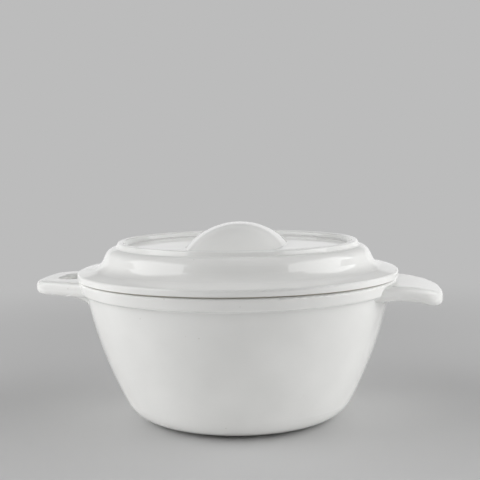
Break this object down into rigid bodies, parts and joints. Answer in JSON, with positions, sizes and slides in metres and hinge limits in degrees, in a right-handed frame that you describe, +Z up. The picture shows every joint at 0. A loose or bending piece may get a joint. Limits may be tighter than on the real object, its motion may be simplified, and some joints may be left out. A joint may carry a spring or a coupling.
{
  "type": "lidded bowl",
  "caption": "Round white glazed bowl for baking and serving, with a pierced handle, a drooped handle and a loose domed lid with an oval knob that lifts straight off",
  "frame": {"origin": "on the table, on the axis of the bowl, at the level of its foot ring", "axes": "+Z up along the axis of the bowl, +X towards the drooped handle, -X towards the pierced handle, -Y towards the viewer of the picture"},
  "size_m": [0.3055, 0.24, 0.1461],
  "materials": {
    "bowl_glaze": "white gloss glaze on slip-cast stoneware",
    "lid_glaze": "white gloss glaze on slip-cast stoneware"
  },
  "bodies": {
    "bowl": {"bowl": "bowl_glaze"},
    "lid": {"lid": "lid_glaze"}
  },
  "joints": [
    {"name": "lid_lift", "type": "slide", "parent": "bowl", "child": "lid", "axis": [0, 0, 1], "range_m": [0, 0.12]}
  ]
}
